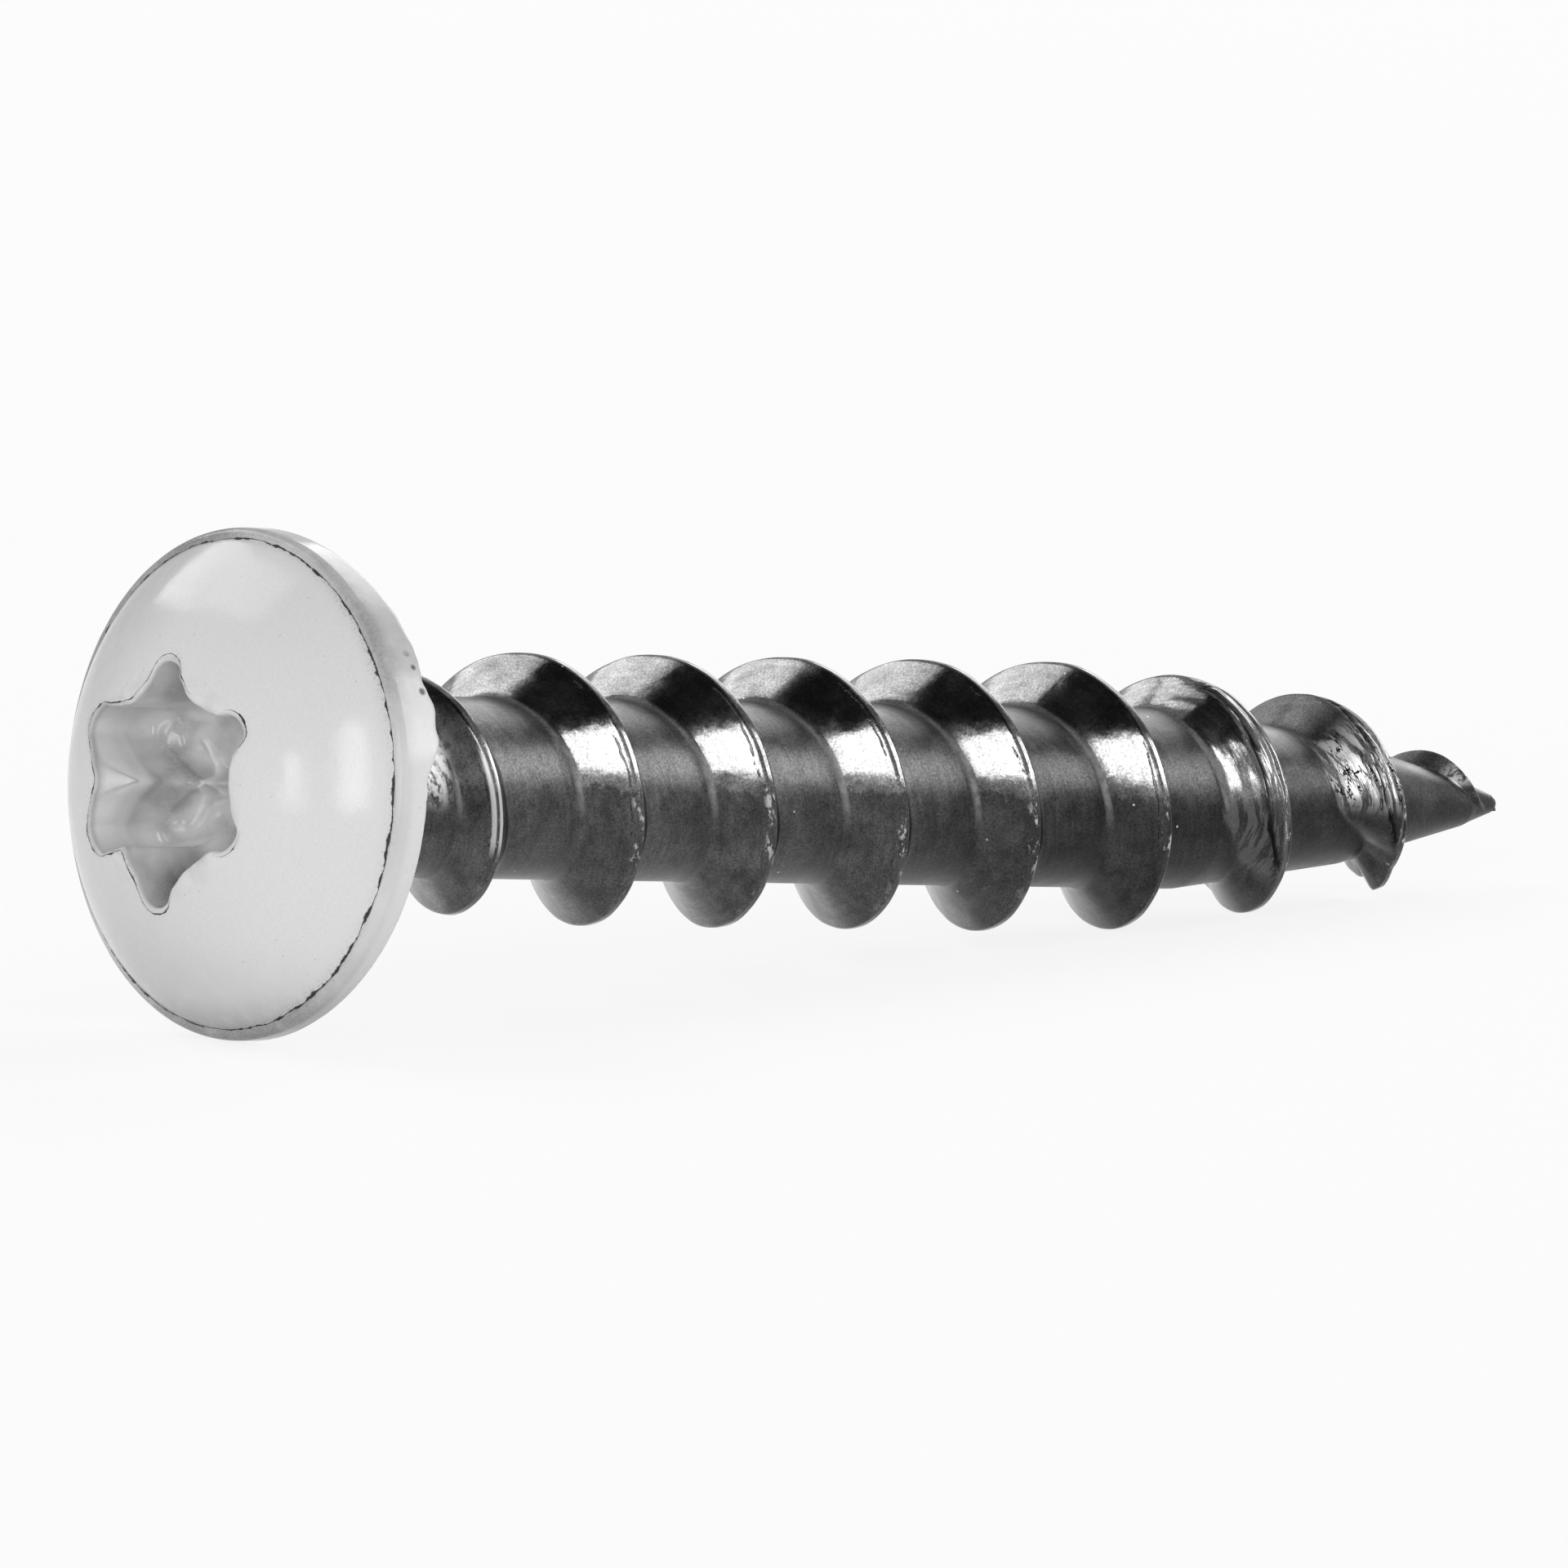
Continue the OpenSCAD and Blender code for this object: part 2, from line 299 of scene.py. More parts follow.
def made_by_nodes(name, tree, values):
    """Runs a Geometry Nodes tree with the given inputs and returns its result as a plain mesh object."""
    carrier = bpy.data.objects.new(name + "_carrier", bpy.data.meshes.new(name + "_carrier"))
    bpy.context.scene.collection.objects.link(carrier)
    nodes = carrier.modifiers.new("shape", "NODES")
    nodes.node_group = tree
    for item in tree.interface.items_tree:
        if item.in_out == "INPUT" and item.name in values:
            nodes[item.identifier] = values[item.name]
    evaluated = carrier.evaluated_get(bpy.context.evaluated_depsgraph_get())
    mesh = bpy.data.meshes.new_from_object(evaluated)
    mesh.name = name
    carrier.modifiers.remove(nodes)
    bpy.data.objects.remove(carrier)
    piece = bpy.data.objects.new(name, mesh)
    bpy.context.scene.collection.objects.link(piece)
    return piece


# White coated head

def six_lobe_radius(turn):
    """Reach of the socket's outline in each direction."""
    lobe_centre = SOCKET_LOBE_REACH - LOBE_R
    b = SOCKET_RIDGE_REACH
    ridge_r = (lobe_centre**2 + b**2 - LOBE_R**2 - math.sqrt(3) * lobe_centre * b) / (
        math.sqrt(3) * lobe_centre + 2 * LOBE_R - 2 * b)
    ridge_centre = b + ridge_r
    join = math.atan2(ridge_centre * math.sin(math.pi / 6), ridge_centre * math.cos(math.pi / 6) - lobe_centre)
    join_turn = math.atan2(LOBE_R * math.sin(join), lobe_centre + LOBE_R * math.cos(join))
    fold = np.abs((turn + math.pi / 6) % (math.pi / 3) - math.pi / 6)
    side = np.minimum(fold, join_turn)
    lobe = lobe_centre * np.cos(side) + np.sqrt(LOBE_R**2 - (lobe_centre * np.sin(side)) ** 2)
    away = np.maximum(fold, join_turn) - math.pi / 6
    ridge = ridge_centre * np.cos(away) - np.sqrt(ridge_r**2 - (ridge_centre * np.sin(away)) ** 2)
    return np.where(fold < join_turn, lobe, ridge)


def bump_at(turn, centre, width):
    """A soft bump round one direction, given in degrees from the top towards the near side."""
    away = (np.degrees(turn) - centre + 180) % 360 - 180
    return np.exp(-((away / width) ** 2))


def flat_bump_at(turn, centre, width):
    """A bump with a level top."""
    away = (np.degrees(turn) - centre + 180) % 360 - 180
    return np.exp(-((away / width) ** 4))


def dome_x(r):
    return DOME_CENTRE - np.sqrt(DOME_R**2 - r**2)


def floor_x(r):
    return FLOOR_X - FLOOR_SLOPE * r


def bent(a, corner, b, steps):
    """Rows of a soft bend from a to b round a corner, without its first row."""
    rows = []
    for i in range(1, steps + 1):
        t = i / steps
        rows.append(tuple((1 - t) ** 2 * p + 2 * t * (1 - t) * q + t * t * s for p, q, s in zip(a, corner, b)))
    return rows


def straight(a, b, steps):
    return [tuple(p + (q - p) * i / steps for p, q in zip(a, b)) for i in range(1, steps + 1)]


def head_rows(turn):
    """The head's half section in each direction, from the middle of the socket to inside the neck.

    A row holds, for each direction, the distance along the axis, the distance from it, how much painted shade and dirt
    lie there (below zero, painted light), and the distance from the nearest cracked edge."""
    zero = np.zeros_like(turn)
    warp = math.radians(7) * bump_at(turn, 184, 22)
    wall = six_lobe_radius(turn - SOCKET_TURN - warp) - 0.02
    wall += 0.26 * bump_at(turn, 284, 11) + 0.24 * bump_at(turn, 250, 10) + 0.08 * bump_at(turn, 310, 10)
    wall -= 0.1 * bump_at(turn, 52, 12) + 0.2 * bump_at(turn, 118, 13) + 0.08 * bump_at(turn, 358, 9)
    wall -= 0.16 * bump_at(turn, 212, 7)
    soft = 0.09 + 0.36 * bump_at(turn, 86, 26) + 0.2 * bump_at(turn, 30, 24) + 0.24 * bump_at(turn, 146, 22)
    foot = 0.3 + 0.14 * bump_at(turn, 265, 30)
    tongue = bump_at(turn, 265, 21)
    # Painted shade on the socket's floor, by direction: darkest where the lip shades it
    shade = 0.3 + 0.2 * bump_at(turn, 95, 45) + 0.5 * bump_at(turn, 20, 24) + 1.1 * bump_at(turn, 156, 32)
    # Painted shade down the walls, by direction; below zero it is painted light on the left walls
    wall_shade = 0.7 * bump_at(turn, 342, 15) + 0.9 * bump_at(turn, 190, 17) - 0.45 * bump_at(turn, 268, 42)
    # Painted shade in a crescent at the foot of the left wall
    crescent_shade = bump_at(turn, 265, 30)
    far = -0.5 + zero
    pool = 0.45 * bump_at(turn, 265, 40)
    root = wall - 0.35 * tongue
    rows = []
    # Floor rows: painted shade over the floor, darker out towards the walls and in the crescent
    for i in range(1, 31):
        t = i / 30
        r = (root - foot) * t
        socket_shade_and_dirt = 0.3 + (shade - 0.3) * t**2 + 0.4 * crescent_shade * np.exp(-(((t - 1.05) / 0.12) ** 2))
        rows.append((floor_x(np.sqrt(r**2 + 0.04)) - pool * t**2, r, socket_shade_and_dirt, far))
    base = (floor_x(wall) - pool - foot, root, wall_shade + 0.85 * crescent_shade, far)
    rows += bent(rows[-1], (floor_x(wall) - pool, root, wall_shade + 0.85 * crescent_shade, far), base, 9)
    inset = 0.8 * np.maximum(soft - 0.12, 0)
    lip = (dome_x(wall) + soft, wall, 0.3 * wall_shade, inset - soft * 1.7)
    # Wall rows: painted shade fading up each wall, lighter on the paint run
    for i in range(1, 19):
        t = i / 18
        depth = base[0] + (lip[0] - base[0]) * t
        socket_shade_and_dirt = lip[2] + (wall_shade - lip[2]) * (1 - t) + 0.85 * crescent_shade * (1 - t) ** 3
        run = np.clip(3 * (1 - np.abs(np.degrees(turn) - 266) / (21 * max(t - 0.4, 0.01))), 0, 1)
        reach = root + (wall - root) * t - 0.07 * tongue * math.sin(math.pi * t) ** 2 - 0.08 * run * (1 - t) ** 0.3
        rows.append((depth, reach, socket_shade_and_dirt * (1 - 0.8 * run), np.maximum(far, lip[3] - 1.5 * (1 - t))))
    rows[-1] = lip
    rows += bent(lip, (dome_x(wall), wall, zero, inset - soft * 0.85), (dome_x(wall + soft), wall + soft, zero, inset), 11)
    start = wall + soft
    for i in range(1, 45):
        r = start + (CREASE_R - 0.03 - start) * i / 44
        rows.append((dome_x(r), r, zero, np.minimum(np.minimum(r - start + inset, CREASE_R - r), 0.5)))
    rows += bent(rows[-1], (dome_x(CREASE_R) + 0.035, CREASE_R + zero, zero, zero),
                 (-RIM_H + 0.002 + zero, CREASE_R + 0.025 + zero, zero, -0.025 + zero), 4)
    blob = 0.17 * flat_bump_at(turn, 71.5, 8)
    far = -0.5 + zero
    under = 0.21 * bump_at(turn, 50, 25) - 0.08 * bump_at(turn, 150, 30) + blob
    for i in range(2, 12):
        a = math.pi / 2 * i / 11
        r = CREASE_R + SHOULDER_R * math.sin(a)
        rows.append((SHOULDER_R * (1 - math.cos(a)) - RIM_H + zero, r + zero, zero, CREASE_R - r + zero))
    rows += straight(rows[-1], (under - EDGE_R, HEAD_R + zero, zero, far), 8)
    rows += bent(rows[-1], (under, HEAD_R + zero, zero, far), (under, HEAD_R - EDGE_R + zero, zero, far), 6)
    rows += straight(rows[-1], (0.01 + 0.3 * under, 2.36 + zero, zero, far), 16)
    rows += bent(rows[-1], (0.02 + zero, 2.2 + zero, zero, far), (0.09 + zero, 2.1 + zero, zero, far), 4)
    return rows


def lump(point, size, seed):
    """Smooth random height between -1 and 1 at a point, for lumps of the given size."""
    return noise.noise(Vector(point) / size + Vector((seed, seed, seed)))


def line_distance(points, line):
    """Distance of each point from a line through a few others."""
    nearest = np.full(len(points), np.inf)
    for a, b in zip(np.array(line), np.array(line)[1:]):
        t = np.clip((points - a) @ (b - a) / ((b - a) @ (b - a)), 0, 1)
        nearest = np.minimum(nearest, np.linalg.norm(points - a - t[:, None] * (b - a), axis=1))
    return nearest


def coated_head():
    """A closed shell: rows of points round the axis, with a point on the axis at each end."""
    count = 384
    turn = np.arange(count) * math.tau / count
    rows = head_rows(turn)
    x, r, socket_shade_and_dirt, edge = (np.concatenate([np.broadcast_to(row[k], turn.shape) for row in rows]) for k in range(4))
    way = np.tile(turn, len(rows))
    points = np.stack([x, -r * np.sin(way), r * np.cos(way)], 1)
    level = np.array([lump(p, 0.55, 3) * 0.6 + lump(p, 0.2, 9) * 0.4 for p in points])
    in_socket = np.clip((1.9 - r) / 0.3, 0, 1)
    behind = np.clip((x + 0.12) / 0.1, 0, 1) * bump_at(way, 68, 22) * (r > 3)
    points[:, 0] += level * (0.006 + 0.07 * in_socket + 0.12 * behind)
    wrinkle = np.minimum.reduce([line_distance(points[:, 1:], line) for line in WRINKLE])
    wrinkle = np.exp(-((wrinkle / 0.045) ** 2)) * (x > -1.1) * (r < 1.6)
    points[:, 0] -= 0.06 * wrinkle
    near_edge = np.exp(-((edge / 0.06) ** 2)) * (r < 2.6)
    points[:, 0] += 0.012 * near_edge * (1 + level) * np.clip(-np.sin(way), 0, 1)
    points = np.vstack([points, [(floor_x(0.2), 0, 0), (0.4, 0, 0)]])
    faces = []
    for i in range(len(rows) - 1):
        for j in range(count):
            k = (j + 1) % count
            faces.append((i * count + j, i * count + k, (i + 1) * count + k, (i + 1) * count + j))
    last = (len(rows) - 1) * count
    for j in range(count):
        k = (j + 1) % count
        faces.append((len(points) - 2, k, j))
        faces.append((last + j, last + k, len(points) - 1))
    mesh = bpy.data.meshes.new("coated_head")
    mesh.from_pydata([tuple(p * MM) for p in points], [], faces)
    weight = np.clip(0.3 + 0.9 * bump_at(way, 50, 22) + 0.8 * bump_at(way, 143, 20) + 0.7 * bump_at(way, 345, 20)
                     + 0.4 * bump_at(way, 95, 12), 0, 1)
    lip_weight = np.clip(bump_at(way, 300, 36) + bump_at(way, 245, 34) + 0.8 * bump_at(way, 200, 22)
                         + 0.9 * bump_at(way, 58, 8) + 0.7 * bump_at(way, 3, 12) + 0.5 * bump_at(way, 117, 6), 0, 1)
    # Stored for the paint: painted shade and dirt in the socket, left unshaded along the wrinkle as a painted
    # highlight; the distance from cracked edges; how strongly the cracks show
    for name, values, middle in (
        ("socket_shade_and_dirt", np.clip((socket_shade_and_dirt + 0.3 * level * in_socket) * (1 - wrinkle), -0.35, 1), 0.3),
        ("edge", edge, -0.5),
        ("crack", np.where(r < 2.8, lip_weight, weight), 0.0),
    ):
        stored = mesh.attributes.new(name, "FLOAT", "POINT")
        stored.data.foreach_set("value", list(values) + [middle, middle])
    piece = bpy.data.objects.new("coated_head", mesh)
    bpy.context.scene.collection.objects.link(piece)
    return piece


# Finishes

def in_screw_frame(tree):
    """Object coordinates turned into the screw's own frame, in millimetres."""
    back = LIE.inverted()
    spot = tree.nodes.new("ShaderNodeTexCoord").outputs["Object"]
    node = tree.nodes.new("ShaderNodeMapping")
    link(tree, spot, node.inputs["Vector"])
    node.inputs["Rotation"].default_value = back.to_euler()
    node.inputs["Location"].default_value = back.translation / MM
    node.inputs["Scale"].default_value = (1 / MM,) * 3
    return node.outputs[0]


def new_finish(name):
    finish = bpy.data.materials.new(name)
    finish.use_nodes = True
    tree = finish.node_tree
    tree.nodes.clear()
    shader = tree.nodes.new("ShaderNodeBsdfPrincipled")
    output = tree.nodes.new("ShaderNodeOutputMaterial")
    tree.links.new(shader.outputs[0], output.inputs["Surface"])
    return finish, tree, shader


def kept(tree, name):
    """A value stored on the mesh."""
    return add(tree, "ShaderNodeAttribute", attribute_name=name).outputs["Fac"]


def grain(tree, spot, size, detail=2.0, roughness=0.5, stretch=None):
    """Noise between about 0.25 and 0.75, with lumps of the given size in millimetres."""
    if stretch:
        spot = vector(tree, "MULTIPLY", spot, stretch)
    node = add(tree, "ShaderNodeTexNoise", Vector=spot, Scale=1 / size, Detail=detail, Roughness=roughness)
    return node.outputs[0]


def specks(tree, spot, size, reach, share):
    """One on small round specks, on a share of cells of the given size, and zero elsewhere."""
    node = add(tree, "ShaderNodeTexVoronoi", Vector=spot, Scale=1 / size)
    chosen = ramp(tree, add(tree, "ShaderNodeSeparateColor", Color=node.outputs["Color"]).outputs[0],
                  share, share - 0.02)
    return calc(tree, "MULTIPLY", ramp(tree, node.outputs["Distance"], reach, reach * 0.5), chosen)


def grey(tree, value):
    return add(tree, "ShaderNodeCombineColor", Red=value, Green=value, Blue=value).outputs[0]


def mixed(tree, share, low, high):
    """A number between low and high, by its share of high."""
    return calc(tree, "ADD", calc(tree, "MULTIPLY", calc(tree, "SUBTRACT", high, low), share), low)


def dark_steel():
    """Dark satin steel with grain, rolling marks, bright worn metal along the crests, and painted highlights, sheen
    and shade.
    """
    finish, tree, shader = new_finish("dark_steel")
    spot = in_screw_frame(tree)
    helix = add(tree, "ShaderNodeUVMap", uv_map="helix").outputs[0]
    place = add(tree, "ShaderNodeSeparateXYZ", Vector=spot).outputs
    crest_turn, beside = add(tree, "ShaderNodeSeparateXYZ", Vector=helix).outputs[:2]
    along = vector(tree, "MULTIPLY", helix, (11.0, 1.0, 1.0))
    flank = kept(tree, "flank")
    torn = kept(tree, "torn")
    crack = kept(tree, "crack")

    fine = grain(tree, spot, 0.035, 3.0, 0.7)
    patchy = grain(tree, spot, 0.55, 6.0, 0.62)
    rolled = grain(tree, along, 0.09, 3.0, 0.6, (0.12, 1.0, 1.0))
    lumps = grain(tree, spot, 0.24, 2.0, 0.5)

    dull = calc(tree, "MULTIPLY", kept(tree, "dull"), flank)
    colour = mixed(tree, ramp(tree, patchy, 0.34, 0.66), 0.055, 0.095)
    colour = calc(tree, "MULTIPLY", colour, mixed(tree, dull, 1.0, 0.7))
    # Painted shade: the underside is darker towards the point
    shaded_underside = calc(tree, "MULTIPLY", ramp(tree, place["X"], 9.0, 18.0), ramp(tree, place["Z"], 0.6, -0.2))
    colour = calc(tree, "MULTIPLY", colour, mixed(tree, shaded_underside, 1.0, 0.55))
    late_core = calc(tree, "MULTIPLY", ramp(tree, place["X"], 8.0, 16.0), calc(tree, "SUBTRACT", 1, flank))
    colour = calc(tree, "MULTIPLY", colour, mixed(tree, late_core, 1.0, 0.75))

    # Painted sheen: the flanks are paler on the far side and in a ragged band on the near side, where lamps shine in
    # them
    ragged = calc(tree, "MULTIPLY", calc(tree, "SUBTRACT", grain(tree, spot, 0.22, 6.0, 0.72), 0.5), 0.9)
    ragged = calc(tree, "ADD", place["Z"], ragged)
    sheen_band = calc(tree, "MULTIPLY", ramp(tree, ragged, 1.27, 1.19), ramp(tree, ragged, 0.16, 0.24))
    sheen_band = calc(tree, "MULTIPLY", sheen_band, ramp(tree, place["Y"], -0.6, -0.9))
    pale = calc(tree, "MULTIPLY", flank, calc(tree, "MAXIMUM", sheen_band, ramp(tree, place["Y"], -0.6, -0.1)))
    colour = calc(tree, "MULTIPLY", colour, mixed(tree, pale, 1.0, 1.9))
    colour = calc(tree, "MULTIPLY", colour, ramp(tree, fine, 0.3, 0.72, 0.5, 1.55, smooth=False))
    colour = calc(tree, "MULTIPLY", colour, ramp(tree, rolled, 0.35, 0.65, 0.85, 1.15, smooth=False))

    # Bright bare metal on the crest, in broken flecks, with a painted highlight that is strongest on the near side at
    # mid height
    near_side = ramp(tree, place["Y"], -0.4, -1.5)
    bare_noise = grain(tree, along, 0.13, 4.0, 0.7, (0.5, 1.0, 1.0))
    bare_metal_and_glint = ramp(tree, calc(tree, "ABSOLUTE", calc(tree, "ADD", beside, 0.02)), 0.13, 0.05)
    bare_metal_and_glint = calc(tree, "MULTIPLY", bare_metal_and_glint, ramp(tree, bare_noise, 0.54, 0.62))
    bare_metal_and_glint = calc(tree, "MULTIPLY", bare_metal_and_glint, calc(tree, "MULTIPLY", mixed(tree, near_side, 0.15, 0.9), ramp(
        tree, calc(tree, "ABSOLUTE", place["Z"]), 1.3, 0.6, 0.2, 1.0)))
    torn_streaks = grain(tree, along, 0.11, 4.0, 0.6, (0.1, 1.0, 1.0))
    bare_metal_and_glint = calc(tree, "MAXIMUM", bare_metal_and_glint, calc(tree, "MULTIPLY", torn, ramp(tree, torn_streaks, 0.47, 0.53)))
    bare_metal_and_glint = calc(tree, "MAXIMUM", bare_metal_and_glint, specks(tree, spot, 0.34, 0.075, 0.3))

    # Painted highlights on the two ridges of the first crest, a bright patch beside the head and another on the last
    # crest, and a painted highlight along the foot of each flank on the near side
    first = calc(tree, "MULTIPLY", ramp(tree, crest_turn, -0.83, -0.8), ramp(tree, crest_turn, -0.66, -0.7))
    first_crest_glints = calc(tree, "ABSOLUTE", calc(tree, "SUBTRACT", calc(tree, "ABSOLUTE", calc(
        tree, "ADD", beside, 0.03)), 0.055))
    first_crest_glints = calc(tree, "MULTIPLY", ramp(tree, first_crest_glints, 0.034, 0.02), first)
    bright_patch = calc(tree, "MULTIPLY", ramp(tree, place["X"], 2.85, 2.6), ramp(tree, place["Y"], -1.0, -1.2))
    height_band = calc(tree, "MULTIPLY", ramp(tree, place["Z"], -0.3, 0.1), ramp(tree, place["Z"], 1.1, 0.8))
    bright_patch = calc(tree, "MULTIPLY", calc(tree, "MULTIPLY", bright_patch, height_band), ramp(tree, bare_noise, 0.4, 0.56))
    # Painted highlight along the foot of each flank
    foot = calc(tree, "MULTIPLY", flank, calc(tree, "SUBTRACT", 1, flank))
    foot = calc(tree, "MULTIPLY", calc(tree, "MULTIPLY", foot, near_side), ramp(tree, place["Z"], -0.5, 0.3, 0.0, 1.7))
    foot = calc(tree, "MULTIPLY", foot, ramp(tree, bare_noise, 0.35, 0.6, 0.45, 1.0))
    tip = calc(tree, "MULTIPLY", ramp(tree, crest_turn, 7.02, 7.09), ramp(tree, crest_turn, 7.16, 7.1))
    tip = calc(tree, "MULTIPLY", calc(tree, "MULTIPLY", tip, ramp(tree, calc(tree, "ABSOLUTE", calc(
        tree, "ADD", beside, 0.14)), 0.2, 0.06)), ramp(tree, bare_noise, 0.42, 0.56))
    bright_patch = calc(tree, "MAXIMUM", bright_patch, tip)
    bare_metal_and_glint = calc(tree, "MAXIMUM", bare_metal_and_glint, calc(tree, "MAXIMUM", first_crest_glints, calc(tree, "MAXIMUM", bright_patch, foot)))
    colour = mixed(tree, bare_metal_and_glint, colour, 0.5)

    # Dark seam beside the crest, and laps
    seam_wave = calc(tree, "MULTIPLY", calc(tree, "SUBTRACT", grain(tree, along, 0.5, 3.0, 0.6), 0.5), 0.14)
    seam = calc(tree, "ABSOLUTE", calc(tree, "ADD", calc(tree, "ADD", beside, 0.13), seam_wave))
    seam = calc(tree, "MULTIPLY", ramp(tree, seam, 0.014, 0.004), ramp(tree, patchy, 0.5, 0.56))
    seam = calc(tree, "MULTIPLY", seam, mixed(tree, near_side, 0.0, 0.35))
    torn_cracks = grain(tree, along, 0.2, 4.0, 0.65, (0.2, 1.0, 1.0))
    torn_cracks = ramp(tree, calc(tree, "ABSOLUTE", calc(tree, "SUBTRACT", torn_cracks, 0.5)), 0.016, 0.005)
    torn_cracks = calc(tree, "MULTIPLY", torn_cracks, ramp(tree, torn, 0.15, 0.5))
    seam = calc(tree, "MAXIMUM", seam, calc(tree, "MAXIMUM", crack, torn_cracks))
    colour = mixed(tree, seam, colour, 0.012)
    link(tree, grey(tree, colour), shader.inputs["Base Color"])

    shader.inputs["Metallic"].default_value = 1.0
    rough = mixed(tree, flank, 0.37, 0.17)
    rough = calc(tree, "ADD", rough, ramp(tree, patchy, 0.35, 0.65, -0.04, 0.05))
    rough = calc(tree, "ADD", rough, calc(tree, "MULTIPLY", bare_metal_and_glint, 0.15))
    rough = calc(tree, "ADD", rough, calc(tree, "MULTIPLY", dull, 0.3))
    link(tree, calc(tree, "MAXIMUM", rough, calc(tree, "MULTIPLY", seam, 0.9)), shader.inputs["Roughness"])

    height = calc(tree, "MULTIPLY", fine, 0.0004)
    height = calc(tree, "ADD", height, calc(tree, "MULTIPLY", lumps, 0.004))
    height = calc(tree, "ADD", height, calc(tree, "MULTIPLY", rolled, 0.0006))
    height = calc(tree, "ADD", height, calc(tree, "MULTIPLY", calc(tree, "MULTIPLY", torn_streaks, torn), 0.035))
    height = calc(tree, "SUBTRACT", height, calc(tree, "MULTIPLY", seam, 0.02))
    raised(tree, shader, height)
    return finish


def raised(tree, shader, height):
    """Bump of a height in millimetres."""
    bump = add(tree, "ShaderNodeBump", Height=calc(tree, "MULTIPLY", height, MM), Distance=1.0)
    link(tree, bump.outputs[0], shader.inputs["Normal"])


